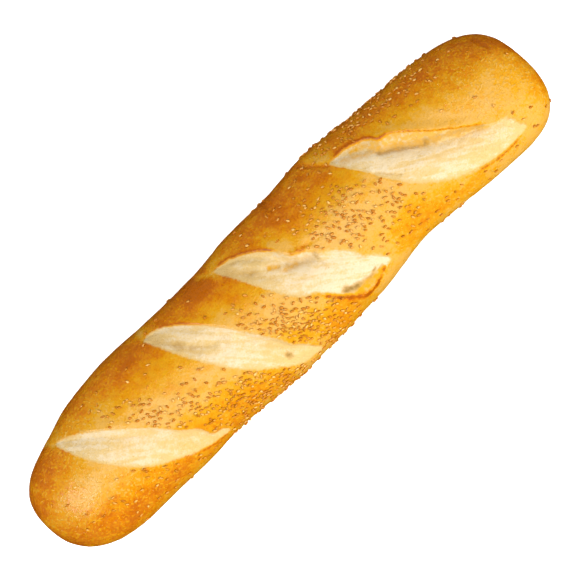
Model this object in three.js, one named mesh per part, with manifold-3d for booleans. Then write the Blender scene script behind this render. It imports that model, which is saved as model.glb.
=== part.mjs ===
// A short, plump baguette with four opened slashes and patches of sesame seeds on its crust.
// Millimetres. +X runs along the loaf, +Z is up, and the origin is under its middle, on the table.
import * as THREE from 'three';
import { mergeVertices } from 'three/addons/utils/BufferGeometryUtils.js';
import Module from 'manifold-3d';

const wasm = await Module();
wasm.setup();

const CRUST = new THREE.MeshStandardMaterial({ color: 0xdb932f, roughness: 0.5, metalness: 0 });

// Size of the loaf, and the heights of its section
const LENGTH = 430;
const HEIGHT = 66;
const HALF_WIDTH = 44.1;
const WAIST = 28; // the level at which the loaf is widest
const SAG = 4.5; // how far the round underside would reach below the table that flattens it
const CROWN_ROUND = 2.15; // superellipse exponents of the section, above and below the waist
const BELLY_ROUND = 2.5;
const RIM = 0.985; // share of the half-width out to which the upper crust is read

// The two ends are superellipses: how long they are and how blunt
const TAIL_END = { length: 79.6, blunt: 2.6 };
const HEAD_END = { length: 42.4, blunt: 2.5 };

// Slow waves of a hand-shaped loaf: place along it, size and reach
const SIDEWAYS_BENDS = [[-191, -4.1, 34], [-86, 1.5, 47], [-41, -2.2, 61], [85, 3.1, 27], [216, -8, 58]];
const WIDTH_SWELLS = [[-102, 3.3, 45], [-6, 5.5, 40], [63, 4.5, 33], [88, -0.7, 12], [151, 1.5, 34]];
const HEIGHT_SWELLS = [[-100, 1.5, 30], [-25, 2, 26], [60, 2, 30], [185, -2, 40]];

// Slashes, from tip to tip as seen from above. Each opens by a lens whose two edges stand off the line
// between the tips: the lip on the +X side, where the crust lifts, and the bloom on the other, where the
// crumb swells out. A lean shifts an edge's fullest place along the cut. Tucks draw the lip in, and notches
// the bloom: size, place from -1 to 1 and reach. The crease is the deepest line, from -1 at the bloom edge
// to 1 at the lip. The crust rises along the lip, and a flare is the crust that stands up along the bloom
// near the cut's far tip.
const SLASHES = [
  {
    from: [-173, 31], to: [-87, -41], depth: 3.6, crease: 0.8, rise: 0.8, flare: 0,
    lip: 5.9, lipLean: -0.54, tucks: [[2, 0.44, 0.21], [3.9, 0.8, 0.09]],
    bloom: 18.9, bloomLean: 0.11, notches: [],
  },
  {
    from: [-86, 38], to: [-8, -46], depth: 4.4, crease: 0.8, rise: 1.3, flare: 0,
    lip: 9, lipLean: -0.94, tucks: [[1.7, 0.65, 0.09]],
    bloom: 14.8, bloomLean: 0.39, notches: [[-2.2, 0.77, 0.17]],
  },
  {
    from: [-23, 37], to: [63, -37], depth: 5.5, crease: 0.68, rise: 2, flare: 1.6,
    lip: 10.8, lipLean: -0.44, tucks: [[4.6, -0.12, 0.2], [2.8, 0.2, 0.09], [2.1, 0.7, 0.07]],
    bloom: 21.3, bloomLean: 0.6, notches: [[5, 0.16, 0.13], [-2.2, 0.7, 0.13]],
  },
  {
    from: [77, 33], to: [184, -38.5], depth: 6.2, crease: 0.55, rise: 2.1, flare: 1.4,
    lip: 12.3, lipLean: -0.46, tucks: [[3.8, 0.12, 0.44], [-4.1, 0.82, 0.1], [2.7, -0.47, 0.07]],
    bloom: 23.1, bloomLean: 0.15, notches: [[4.6, -0.68, 0.31]],
  },
];
const LIP_CURVE = 0.65; // how blunt the lens edges are at the tips
const BLOOM_CURVE = 0.95;
const TIP_WIDTH = 0.6;
const EDGE_STEP = 0.8; // height of the crust's torn edge
const BLOOM_SLOPE = { start: 0.1, even: 0.25, steep: 0.65, power: 4 }; // shares of the depth, bloom to crease
const WALL_POWER = 1.5; // curve of the wall from the crease up to the lip
const PINCH = 0.035; // share by which the loaf is drawn in round each cut
const PINCH_REACH = 15;
const PINCH_FADE = 0.35; // share of a cut over which the pinch dies away past its tips

// The crust that stands up beside an opening: breadth, overhang, and how deep it is rooted
const RIDGE = { breadth: 8, overhang: 0.7, root: 2.5, sunk: 0.3, crest: -0.6 };
const LIP_SPAN = [-0.94, 0.94]; // stretch of the cut, from -1 to 1, that has a ridge
const FLARE_SPAN = [0.94, 0.3];

// Sesame seeds, and the patches that they lie in: middle, spread, slant in degrees and how many
const SEED = { length: 3.4, width: 2.1, thickness: 1.5, taper: 0.25, gap: 5, clear: 2.5 };
const SEED_PATCHES = [
  { at: [-148, -28], spread: [24, 9], slant: -10, count: 9 },
  { at: [-120, 6], spread: [16, 6], slant: -42, count: 14 },
  { at: [-70, -30], spread: [26, 10], slant: -22, count: 46 },
  { at: [-10, -24], spread: [20, 12], slant: -35, count: 40 },
  { at: [64, 4], spread: [24, 12], slant: -42, count: 46 },
  { at: [118, 38], spread: [26, 5], slant: -6, count: 26 },
  { at: [150, -38], spread: [30, 5], slant: 0, count: 5 },
];
const SEED_DRAW = 27;
const SEED_RIM = 0.96; // no seed lies further out than this share of the half-width
const DRAWS_PER_SEED = 40;

// Fineness of the meshes: rows along the loaf and its ends, columns around, steps along and across a cut
const ROWS = { tail: 11, middle: 43, head: 9 };
const COLUMNS = 30;
const CROWDING = 0.3; // shifts the columns towards the top
const CUT_STEPS = [24, 5];
const RIDGE_STEPS = [17, 3];
const CLEARANCE = 9; // how far a cutting body stands above the crust
const NEARBY = 0.5; // step over which the crust's slope is read
const MERGE = 1e-4;

const signedPower = (base, power) => Math.sign(base) * Math.abs(base) ** power;
const hump = (x, at, reach) => Math.exp(-(((x - at) / reach) ** 2));
const waves = (list, x) => list.reduce((sum, [at, size, reach]) => sum + size * hump(x, at, reach), 0);
const draws = (list, s) => list.reduce((sum, [size, at, reach]) => sum + size * hump(s, at, reach), 0);

// 1 along the loaf, falling to 0 at its two tips
function endRound(x) {
  const end = x < 0 ? TAIL_END : HEAD_END;
  const into = Math.max(0, Math.abs(x) - LENGTH / 2 + end.length) / end.length;
  return Math.max(0, 1 - into ** end.blunt) ** (1 / end.blunt);
}

const centreAt = (x) => waves(SIDEWAYS_BENDS, x);
const halfWidthAt = (x) => endRound(x) * (HALF_WIDTH + waves(WIDTH_SWELLS, x));

// A slash's own frame: its middle, its direction and the direction across it, towards the lip
const cuts = SLASHES.map((slash) => {
  const from = new THREE.Vector2(...slash.from);
  const to = new THREE.Vector2(...slash.to);
  const along = to.clone().sub(from).normalize();
  return {
    ...slash,
    middle: from.clone().lerp(to, 0.5),
    half: from.distanceTo(to) / 2,
    along,
    across: new THREE.Vector2(-along.y, along.x),
  };
});

// Where a plan point lies beside a cut: its share of the way along, and its distance across
function beside(cut, x, y) {
  const offset = new THREE.Vector2(x, y).sub(cut.middle);
  return { s: offset.dot(cut.along) / cut.half, d: offset.dot(cut.across) };
}

// How far the two edges of an opening stand off the cut's line
function lipEdge(cut, s) {
  const lens = cut.lip * (1 - s * s) ** LIP_CURVE * (1 + cut.lipLean * s);
  return lens + TIP_WIDTH - draws(cut.tucks, s);
}

function bloomEdge(cut, s) {
  const lens = cut.bloom * (1 - s * s) ** BLOOM_CURVE * (1 + cut.bloomLean * s);
  return draws(cut.notches, s) - lens - TIP_WIDTH;
}

// How much the loaf is drawn in at a plan point, by the cuts that cross it from side to side
function pinchAt(x, y) {
  let drawn = 0;
  for (const cut of cuts) {
    const { s, d } = beside(cut, x, y);
    const pastTip = Math.max(0, Math.abs(s) - 1);
    drawn += PINCH * hump(pastTip, 0, PINCH_FADE) * hump(d, 0, PINCH_REACH);
  }
  return drawn;
}

// The crust without its openings, at a place along the loaf and a turn round it, 0 at the top
function crustPoint(x, turn) {
  const upper = Math.cos(turn) >= 0;
  const power = 2 / (upper ? CROWN_ROUND : BELLY_ROUND);
  const rise = upper ? HEIGHT + waves(HEIGHT_SWELLS, x) - WAIST : WAIST + SAG;
  const side = halfWidthAt(x) * signedPower(Math.sin(turn), power);
  const lift = endRound(x) * rise * signedPower(Math.cos(turn), power);
  const drawn = 1 - pinchAt(x, centreAt(x) + side) * THREE.MathUtils.smoothstep(lift, -WAIST, 0);
  return new THREE.Vector3(x, centreAt(x) + side * drawn, Math.max(0, WAIST + lift * drawn));
}

// The turn round the loaf at which the upper crust has a given sideways place
function turnAt(x, y) {
  const share = THREE.MathUtils.clamp((y - centreAt(x)) / halfWidthAt(x), -RIM, RIM);
  return Math.asin(signedPower(share, CROWN_ROUND / 2));
}

// The upper crust at a plan point, and the direction out of it
function crustAt(x, y) {
  const turn = turnAt(x, y);
  const point = crustPoint(x, turn);
  const lengthwise = crustPoint(x + NEARBY, turn).sub(crustPoint(x - NEARBY, turn));
  const round = crustPoint(x, turn + NEARBY / HEIGHT).sub(crustPoint(x, turn - NEARBY / HEIGHT));
  return { point, normal: lengthwise.cross(round).normalize() };
}

// A closed solid from a geometry whose every vertex is moved by a function
function shaped(geometry, move) {
  const moved = geometry.clone();
  moved.deleteAttribute('normal');
  moved.deleteAttribute('uv');
  const mesh = mergeVertices(moved, MERGE);
  const place = mesh.attributes.position;
  const vertex = new THREE.Vector3();
  for (let i = 0; i < place.count; i += 1) {
    vertex.fromBufferAttribute(place, i);
    place.setXYZ(i, ...move(vertex));
  }
  return new wasm.Manifold(
    new wasm.Mesh({ numProp: 3, vertProperties: place.array, triVerts: new Uint32Array(mesh.index.array) }),
  );
}

// Place along the loaf of one of the rows: even in the middle, closer towards the two tips
function rowPlace(row) {
  const tailStart = -LENGTH / 2 + TAIL_END.length;
  const headStart = LENGTH / 2 - HEAD_END.length;
  if (row < ROWS.tail) {
    return tailStart - TAIL_END.length * Math.cos((row / ROWS.tail) * (Math.PI / 2));
  }
  const past = row - ROWS.tail;
  if (past <= ROWS.middle) {
    return THREE.MathUtils.lerp(tailStart, headStart, past / ROWS.middle);
  }
  return headStart + HEAD_END.length * Math.sin(((past - ROWS.middle) / ROWS.head) * (Math.PI / 2));
}

// The whole loaf, a sphere with its poles at the two tips, without openings or seeds
function loafBody() {
  const rows = ROWS.tail + ROWS.middle + ROWS.head;
  const sphere = new THREE.SphereGeometry(1, COLUMNS, rows).rotateZ(-Math.PI / 2);
  return shaped(sphere, (vertex) => {
    const row = Math.round((1 - Math.acos(THREE.MathUtils.clamp(vertex.x, -1, 1)) / Math.PI) * rows);
    const round = Math.atan2(vertex.y, vertex.z);
    return crustPoint(rowPlace(row), round - CROWDING * Math.sin(round));
  });
}

// Depth of an opening under the crust: a swollen bloom, a crease, then the wall up to the lip
function openingDepth(cut, s, v) {
  const { start, even, steep, power } = BLOOM_SLOPE;
  const fromBloom = (v + 1) / (cut.crease + 1);
  const fromLip = (1 - v) / (1 - cut.crease);
  const swell = start + even * fromBloom + steep * fromBloom ** power;
  const share = v < cut.crease ? swell : fromLip ** WALL_POWER;
  return EDGE_STEP + (cut.depth - EDGE_STEP) * share * (1 - s * s) ** LIP_CURVE;
}

// The crust beside a cut, at a share of the way along and a distance across it
function crustBeside(cut, s, d) {
  const plan = cut.middle.clone().addScaledVector(cut.along, s * cut.half).addScaledVector(cut.across, d);
  return crustAt(plan.x, plan.y);
}

// The body that a slash takes out of the crust
function openingBody(cut) {
  return shaped(new THREE.BoxGeometry(2, 2, 2, ...CUT_STEPS, 1), ({ x: s, y: v, z: side }) => {
    const d = THREE.MathUtils.mapLinear(v, -1, 1, bloomEdge(cut, s), lipEdge(cut, s));
    const { point, normal } = crustBeside(cut, s, d);
    return point.addScaledVector(normal, side > 0 ? CLEARANCE : -openingDepth(cut, s, v));
  });
}

// Raised crust along one edge of an opening, highest at its middle and standing a little over the opening
function ridgeBody(cut, edge, outward, [start, end], rise) {
  return shaped(new THREE.BoxGeometry(2, 2, 2, ...RIDGE_STEPS, 1), ({ x: share, y: v, z: side }) => {
    const s = THREE.MathUtils.mapLinear(share, -1, 1, start, end);
    const out = THREE.MathUtils.mapLinear(v, -1, 1, -RIDGE.overhang, RIDGE.breadth);
    const { point, normal } = crustBeside(cut, s, edge(cut, s) + outward * out);
    const fall = 1 - THREE.MathUtils.smoothstep(v, RIDGE.crest, 1);
    const height = rise * (1 - share * share) * fall - RIDGE.sunk;
    return point.addScaledVector(normal, side > 0 ? height : -RIDGE.root);
  });
}

// True where a plan point is off every opening and its lip by the seeds' clearance
function onBareCrust(x, y) {
  return cuts.every((cut) => {
    const { s, d } = beside(cut, x, y);
    const inside = d > bloomEdge(cut, s) - SEED.clear && d < lipEdge(cut, s) + SEED.clear;
    return Math.abs(s) >= 1 || !inside;
  });
}

// A bell-shaped draw about 0
function bell() {
  const away = Math.sqrt(-2 * Math.log(1 - THREE.MathUtils.seededRandom()));
  return away * Math.cos(2 * Math.PI * THREE.MathUtils.seededRandom());
}

// Places of the seeds, drawn patch by patch and kept apart from each other
function seedPlaces() {
  THREE.MathUtils.seededRandom(SEED_DRAW);
  const places = [];
  for (const patch of SEED_PATCHES) {
    const turn = THREE.MathUtils.degToRad(patch.slant);
    let left = patch.count;
    for (let draw = 0; left > 0 && draw < patch.count * DRAWS_PER_SEED; draw += 1) {
      const spot = new THREE.Vector2(bell() * patch.spread[0], bell() * patch.spread[1]);
      spot.rotateAround(new THREE.Vector2(), turn).add(new THREE.Vector2(...patch.at));
      const heading = THREE.MathUtils.seededRandom() * Math.PI;
      const reach = Math.abs(spot.y - centreAt(spot.x)) / halfWidthAt(spot.x);
      const { point, normal } = crustAt(spot.x, spot.y);
      const apart = places.every((other) => other.point.distanceTo(point) > SEED.gap);
      if (reach < SEED_RIM && apart && onBareCrust(spot.x, spot.y)) {
        places.push({ point, normal, heading });
        left -= 1;
      }
    }
  }
  return places;
}

// One seed lying flat on the crust, pointed at one end and half sunk
function seedBody({ point, normal, heading }) {
  const sideways = new THREE.Vector3(-normal.z, 0, normal.x).normalize().applyAxisAngle(normal, heading);
  const across = normal.clone().cross(sideways);
  const frame = new THREE.Matrix4().makeBasis(sideways, across, normal).setPosition(point);
  const half = new THREE.Vector3(SEED.length / 2, SEED.width / 2, SEED.thickness / 2);
  return shaped(new THREE.OctahedronGeometry(1, 0), (vertex) => {
    const narrow = 1 - SEED.taper * vertex.x;
    return vertex.set(vertex.x, vertex.y * narrow, vertex.z * narrow).multiply(half).applyMatrix4(frame);
  });
}

function meshGeometry(solid) {
  const { vertProperties, triVerts } = solid.getMesh();
  const geometry = new THREE.BufferGeometry();
  geometry.setAttribute('position', new THREE.BufferAttribute(vertProperties, 3));
  geometry.setIndex(new THREE.BufferAttribute(triVerts, 1));
  return geometry;
}

let loaf = loafBody();
for (const cut of cuts) {
  loaf = loaf.subtract(openingBody(cut));
}
for (const cut of cuts) {
  loaf = loaf.add(ridgeBody(cut, lipEdge, 1, LIP_SPAN, cut.rise));
}
for (const cut of cuts.filter(({ flare }) => flare > 0)) {
  loaf = loaf.add(ridgeBody(cut, bloomEdge, -1, FLARE_SPAN, cut.flare));
}
for (const place of seedPlaces()) {
  loaf = loaf.add(seedBody(place));
}

const geometry = meshGeometry(loaf);
geometry.computeBoundingBox();
const middle = geometry.boundingBox.getCenter(new THREE.Vector3());
geometry.translate(-middle.x, -middle.y, -geometry.boundingBox.min.z);
geometry.computeVertexNormals();

const baguette = new THREE.Mesh(geometry, CRUST);
baguette.name = 'baguette';

const part = new THREE.Group();
part.add(baguette);

export default part;
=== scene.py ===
"""A short, plump baguette: golden crust, four opened slashes and patches of sesame seeds.

Shapes are worked out in millimetres and built in metres. +X runs along the loaf and +Z is up.
"""
import math
from collections import namedtuple

import bmesh
import bpy
import numpy as np
from mathutils import Matrix, Vector, noise
from mathutils.bvhtree import BVHTree


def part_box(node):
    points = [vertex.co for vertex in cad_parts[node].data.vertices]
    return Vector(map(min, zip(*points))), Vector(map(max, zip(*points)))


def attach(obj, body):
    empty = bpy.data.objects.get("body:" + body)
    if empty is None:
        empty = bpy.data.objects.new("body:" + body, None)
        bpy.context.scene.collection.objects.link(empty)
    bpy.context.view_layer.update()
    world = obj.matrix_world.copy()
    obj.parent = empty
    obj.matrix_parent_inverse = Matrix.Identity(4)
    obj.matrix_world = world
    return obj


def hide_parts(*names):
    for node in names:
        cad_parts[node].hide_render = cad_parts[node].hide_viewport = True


bl_info = {
    "name": "Baguette",
    "version": (1, 0, 0),
    "blender": (4, 5, 0),
    "location": "3D View > Sidebar > Baguette",
    "description": "Builds a sesame baguette over its packed solid, and the stage that shows it",
    "category": "Object",
}

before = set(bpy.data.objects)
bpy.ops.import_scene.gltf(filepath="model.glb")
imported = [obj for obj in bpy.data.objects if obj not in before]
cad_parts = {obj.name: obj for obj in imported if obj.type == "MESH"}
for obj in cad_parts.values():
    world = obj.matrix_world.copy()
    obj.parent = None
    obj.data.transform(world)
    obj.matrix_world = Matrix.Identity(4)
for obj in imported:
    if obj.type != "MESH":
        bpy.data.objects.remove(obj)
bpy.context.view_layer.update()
LOAF_NODE = "baguette"
BODY = "root"
MM = 0.001
LOW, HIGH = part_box(LOAF_NODE)

# Size of the loaf and the heights of its section, in millimetres
LENGTH = (HIGH.x - LOW.x) / MM
HEIGHT = 66
HALF_WIDTH = 44.1
WAIST = 28  # the level at which the loaf is widest
SAG = 4.5  # how far the round underside would reach below the table that flattens it
HEEL = 1.2  # rounding where the flat underside turns up into the sides
CROWN_ROUND, BELLY_ROUND = 2.15, 2.5  # superellipse exponents above and below the waist

# The two ends are superellipses: how long they are and how blunt
TAIL_END = (79.6, 2.6)
HEAD_END = (42.4, 2.5)

# Slow waves of a hand-shaped loaf: place along it, size and reach
SIDEWAYS_BENDS = ((-191, -4.1, 34), (-86, 1.5, 47), (-41, -2.2, 61), (85, 3.1, 27), (216, -8, 58))
WIDTH_SWELLS = ((-102, 3.3, 45), (-6, 5.5, 40), (63, 4.5, 33), (88, -0.7, 12), (151, 1.5, 34))
HEIGHT_SWELLS = ((-100, 1.5, 30), (-25, 2, 26), (60, 2, 30), (185, -2, 40))

# Slashes, from tip to tip as seen from above. The lip is the edge on the +X side, where the crust lifts,
# and the bloom the other, where the crumb swells out. Tucks draw the lip in, and notches the bloom: size,
# place from -1 to 1 and reach. The crease is the deepest line, from -1 at the bloom to 1 at the lip, and
# drifts along the cut. Rise and flare are how far the crust stands up beside the lip and the bloom. Swells
# are stretches where the crumb rose nearly level with the crust: from, to and how much. Burns are stretches
# of an edge that browned: edge, from, to, strength and width. Soft stretches pale gradually from crust to
# crumb: edge, from, to and how much wider than a plain edge. Rag is how uneven the edges are, torn is how
# far the wall under the lip tore, and white is how floury the crumb is at its start, middle and end.
Slash = namedtuple(
    "Slash",
    "start end depth crease drift rise flare lip lip_lean tucks bloom bloom_lean notches"
    " swells burns soft rag torn white",
)
SLASHES = (
    Slash(
        start=(-173, 31), end=(-87, -41), depth=3.1, crease=0.62, drift=0, rise=0.8, flare=0.5,
        lip=5.9, lip_lean=-0.54, tucks=((2, 0.44, 0.21), (3.9, 0.8, 0.09)),
        bloom=18.2, bloom_lean=0.11, notches=((1.2, 0.42, 0.22),),
        # the browned line at the foot of the bloom edge is partly painted shadow under the overhanging crust
        swells=(), burns=(("bloom", 0.62, 0.95, 0.6, 0.9),),
        soft=(("bloom", -1, 0.6, 0.8), ("lip", -1, 1, 0.8)), rag=0.1, torn=0, white=(0.55, 0.45, 0.05),
    ),
    Slash(
        start=(-86, 38), end=(-8, -46), depth=3.8, crease=0.65, drift=0, rise=1.0, flare=0.4,
        lip=9, lip_lean=-0.94, tucks=((1.7, 0.65, 0.09),),
        bloom=14.8, bloom_lean=0.39, notches=((-2.2, 0.77, 0.17),),
        swells=((-1, 0.1, 0.6),), burns=(("lip", -0.78, -0.34, 0.6, 0.7),),
        soft=(("bloom", -1, 1, 0.8), ("lip", -0.2, 1, 1.4)), rag=0.12, torn=0.1, white=(0.35, 0.62, 0),
    ),
    Slash(
        start=(-23, 37), end=(63, -37), depth=5.0, crease=0.66, drift=0, rise=1.3, flare=1.6,
        lip=10.8, lip_lean=-0.44, tucks=((4.6, -0.12, 0.2), (2.8, 0.2, 0.09), (2.1, 0.7, 0.07)),
        bloom=21.3, bloom_lean=0.6, notches=((4.2, 0.17, 0.2), (-2.2, 0.7, 0.13)),
        swells=((-1, -0.35, 0.6), (0.12, 1, 0.5)),
        burns=(("lip", -0.95, -0.3, 0.85, 0.9), ("bloom", 0.3, 0.94, 0.3, 2.4)),
        soft=(("bloom", -1, 0.2, 1.0), ("lip", -0.9, -0.3, 0.8), ("lip", -0.2, 1, 2.6)),
        rag=0.4, torn=0.35, white=(0, 0.7, 0.75),
    ),
    Slash(
        start=(77, 33), end=(184, -38.5), depth=6.0, crease=0.48, drift=0.5, rise=1.3, flare=1.4,
        lip=12.3, lip_lean=-0.46, tucks=((3.8, 0.12, 0.44), (-4.1, 0.82, 0.1), (2.7, -0.47, 0.07)),
        bloom=23.1, bloom_lean=0.15, notches=((3.7, -0.68, 0.31),),
        swells=((-1, -0.42, 0.45), (0.6, 1, 0.6)),
        burns=(
            ("lip", -0.96, -0.36, 0.85, 1.3), ("lip", -0.5, 0.55, 0.6, 0.7), ("bloom", 0.45, 0.91, 0.7, 0.8),
        ),
        soft=(("bloom", -0.3, 0.6, 1.0), ("lip", 0.7, 1, 2.4)), rag=0.3, torn=1.1, white=(0.62, 0.5, 0.25),
    ),
)
LIP_CURVE, BLOOM_CURVE = 0.65, 0.95  # how blunt the lens edges are at the tips
TIP_WIDTH = 0.6
LEAST_WIDTH = 0.5
BURN_FADE, SOFT_FADE, SWELL_FADE = 0.07, 0.2, 0.15  # shares of a cut over which its stretches fade
EDGE_STEP = 0.8  # height of the crust's torn edge at the lip
STEP_RUN, TORN_RUN = (-0.3, 0.9), (-0.25, 0.2)  # shares across a cut over which it and its tear come on
LIP_RUN = (-0.35, 0.9)  # millimetres inside an edge over which the surface falls
BLOOM_RUN = (-1.0, 2.4)
BLOOM_START, BLOOM_EVEN, BLOOM_STEEP, BLOOM_POWER = 0.08, 0.27, 0.65, 4
CREASE_END = 0.92
CREASE_TIGHT = 6  # how sharply the bloom and the wall meet
WALL_POWER = 1.5  # curve of the wall from the crease up to the lip
PINCH = 0.035  # share by which the loaf is drawn in round each cut
PINCH_REACH = 15
PINCH_FADE = 0.35  # share of a cut over which the pinch dies away past its tips
RIDGE_RISE, RIDGE_FALL = (-0.6, 0.3), (0.8, 8.0)  # millimetres outside an edge for the crust raised there
RISE_REACH = 0.94  # stretch of a cut along which its lip stands up
FLARE_MIDDLE, FLARE_REACH = 0.62, 0.34  # stretch of a cut along which its bloom edge stands up
# How much paler the crust is beside an edge, and how far
RIM_PALE = {"bloom": (0.16, 4.0), "lip": (0.08, 3.0)}
WHITE_AT = (-0.8, 0, 0.8)  # start, middle and end of a cut
FIBRE = (15, 2.3)  # length and breadth of the streaks in crumb
FIBRE_HEIGHT, TORN_HEIGHT = 0.12, 0.25  # height of the streaks, and how much more where the crumb tore

# Uneven relief: size of its lumps and their height, in millimetres
LOW_WAVES = (34, 0.5)
SMALL_BUMPS = (7, 0.16)
CRUMB_BUMPS = (3.2, 0.14)
RAG_SIZE = 4.5  # lumps of the noise that frays edges and folds
FOLD_RAG = 0.8
UPPER_RUN = (0.02, 0.2)  # cosines of the turn round the loaf over which slashes and folds come on

# Folds and pits, from one plan point to another: breadth, depth, the painted shade laid in them (a negative
# amount is instead a paler seam of less browned crust), and how they burn the surface.
# A negative depth is a ridge.
Fold = namedtuple("Fold", "start end breadth depth stain burn")
FOLDS = (
    # pinched dough that runs out from the tips to the side, paler, with painted shade in the deep crease by
    # the fourth slash
    Fold((-174, 32), (-180, 37), 1.6, 0.5, -0.8, 0),
    Fold((-86, 39), (-84, 46), 2.6, 0.5, -1.0, 0),
    Fold((-24, 37), (-33, 42), 2.4, 0.6, -0.9, 0),
    Fold((76, 34), (63, 47), 1.5, 1.1, 0.7, 0),
    Fold((76, 38), (70, 46), 4.5, -0.4, -0.6, 0),
    # faint fold of the first slash, with a little painted shade, and its browner foot
    Fold((-163, 22), (-157, 12), 1.0, 0.2, 0.25, 0),
    Fold((-114, -27), (-95, -38), 7.0, 0, 0, 0.12),
    # painted shade on the flank and in the pit of the second slash, its ledges, and its browner foot
    Fold((-81, 32), (-72, 20), 3.0, 0.6, 0.55, 0),
    Fold((-72, 20), (-66, 8), 3.6, 0.6, 0.5, 0),
    Fold((-67, 14), (-56, 4), 2.0, 0.6, 0.35, 0),
    Fold((-71, 32), (-63, 22), 2.6, -0.7, -0.15, 0),
    Fold((-61, 18), (-51, 9), 2.6, -0.6, -0.15, 0),
    Fold((-27, -34), (-26.3, -36), 1.7, 1.2, 1.5, 0),
    Fold((-34, -24), (-16, -42), 6.0, 0, 0, 0.08),
    # painted shade in the hollows of the third slash, and its ledge
    Fold((-18, 31), (-7, 20), 3.8, 0.6, 0.48, 0.08),
    Fold((-7, 20), (1, 7), 3.6, 0.5, 0.36, 0.07),
    Fold((-10, 31), (1, 20), 2.4, -0.7, -0.15, 0),
    Fold((-11.5, 33), (-10.5, 32.5), 0.9, 0.6, 0.9, 0),
    Fold((4, 14), (8, 11), 2.2, 0.6, 0.8, 0.24),
    Fold((8, 7), (17, 3.5), 2.2, 0.3, 0.3, 0.18),
    Fold((14, 7), (27, -2), 3.6, 0.6, 0.55, 0),
    Fold((29.5, 1), (30.5, -10), 0.8, 0.5, 0.4, 0),
    # tongue of crust at its lip, and painted shade in the fold behind it
    Fold((20.5, 10.5), (28.5, 7.2), 1.5, -0.6, 0, 0.6),
    Fold((26, 8.5), (44, 5), 1.8, 0.5, 0.3, 0),
    # painted shade at the foot of the third slash, and the browned edge round it
    Fold((28, -31), (35, -34), 2.4, 0.8, 1.6, 0.06),
    Fold((37, -35.2), (47, -36.6), 2.2, 0.8, 1.0, 0.12),
    Fold((50, -34.5), (52, -34), 0.9, 0.4, 1.2, 0),
    Fold((52, -36.9), (56, -36.2), 1.3, 0.6, 0.8, 0.1),
    Fold((32, -38), (52, -38.5), 2.6, 0.2, 0.6, 0.38),
    Fold((12, -18.5), (24, -31), 2.0, 0.2, 0, 0.3),
    Fold((17, -25), (27.5, -35.5), 1.3, 0.3, 0, 0.95),
    Fold((27.5, -35.5), (33, -40.5), 1.4, 0.3, 0, 1.0),
    Fold((33, -40.5), (39, -42.5), 1.3, 0.3, 0, 1.0),
    Fold((39, -42.5), (48, -41), 1.1, 0.3, 0, 1.0),
    Fold((48, -41), (57, -38), 0.9, 0.3, 0, 0.85),
    # crease of the fourth slash with painted shade, its torn wall, and a second edge on the bloom, darkened
    # as painted shade
    Fold((85, 29), (106, 19), 3.4, 0.3, 0.4, 0.17),
    Fold((106, 17), (130, 1.5), 2.4, 1.3, 0.8, 0.16),
    Fold((132, 0), (163, -17), 2.2, 1.0, 0.95, 0.16),
    Fold((93, 30.5), (103, 26), 2.0, 0, 0.3, 0.28),
    Fold((104, 23), (120, 10), 2.2, 0, 0.4, 0.2),
    Fold((94, 9), (105, -3), 1.1, 0.5, 0.75, 0),
    # crust: a dark smear, a dimple in the far side with painted shade, and a wrinkle at the head, browned and
    # partly painted shade
    Fold((-43, 38), (-34, 36), 5.0, 0.2, 0, 0.36),
    Fold((30, 48), (31, 40), 1.6, 0.9, 0.35, 0),
    Fold((199, 25), (202, 15), 1.2, 0.4, 0.3, 0.5),
)

# Browning, from 0 for straw to 1 for chestnut: the crown, and what the two sides, the near limb and the ends
# add, with the shares of the half-width over which a side comes on. The crown's pale gold is partly painted
# sheen, and the paler near limb is painted light thrown up from the floor.
CROWN_BAKE_AND_SHEEN = 0.27
FAR_SIDE = (0.62, 0.05, 0.85)
NEAR_SIDE = (0.3, 0.2, 0.8)
# painted light: the near limb is paler, as though lit from the floor below
NEAR_LIMB_LIGHT = (-0.14, 0.82, 1.0)
END_BAKE, END_MOST = 0.67, 0.45
UNDER_BAKE, UNDER_RUN = 0.8, (0, 0.35)
# how much the painted shade of folds darkens the crust, and how much pinched seams pale it
SHADE_AND_SEAM_BAKE = 0.55
BLISTER_BAKE = 0.04
BLISTER_MIDDLE, BLISTER_ENDS = 10, (120, 190)  # the place with fewest, and how far from it they come on
BLISTER_SIDES = (0.7, 0.35, 0.8)
BAKE_CLOUDS = ((40, 0.05, 0), (12, 0.1, 20))  # blotches: size, strength and place in the noise
STREAK_CLOUDS = (9, 0.17)
STREAK = 4  # how much longer than broad are the streaks of crust that stretched beside the slashes
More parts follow.
